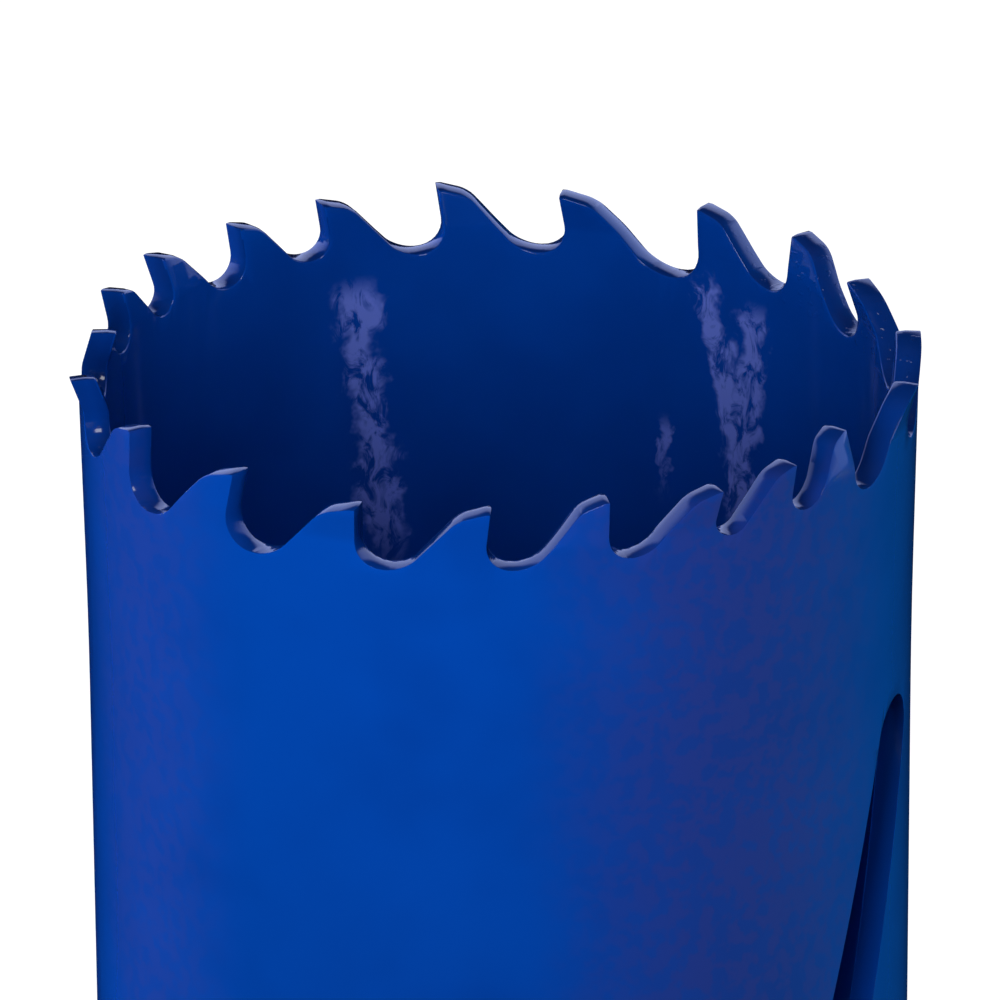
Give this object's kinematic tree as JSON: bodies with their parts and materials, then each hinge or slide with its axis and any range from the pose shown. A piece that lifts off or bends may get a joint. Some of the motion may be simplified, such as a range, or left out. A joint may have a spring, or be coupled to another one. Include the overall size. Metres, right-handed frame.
{
  "type": "hole saw",
  "caption": "Cup-shaped hole saw with a toothed rolled shell, slanted ejection slots and a thick end cap threaded for an arbor.",
  "frame": {"origin": "centre of the end cap's outer face, on the spindle axis", "axes": "+Z along the spindle axis towards the tooth tips; +X towards the right of the picture"},
  "size_m": [0.0348, 0.0348, 0.048],
  "materials": {
    "shell_paint": "gloss blue enamel over steel",
    "cap_paint": "gloss blue enamel over steel"
  },
  "bodies": {
    "root": {"toothed_shell": "shell_paint", "end_cap": "cap_paint"}
  },
  "joints": []
}
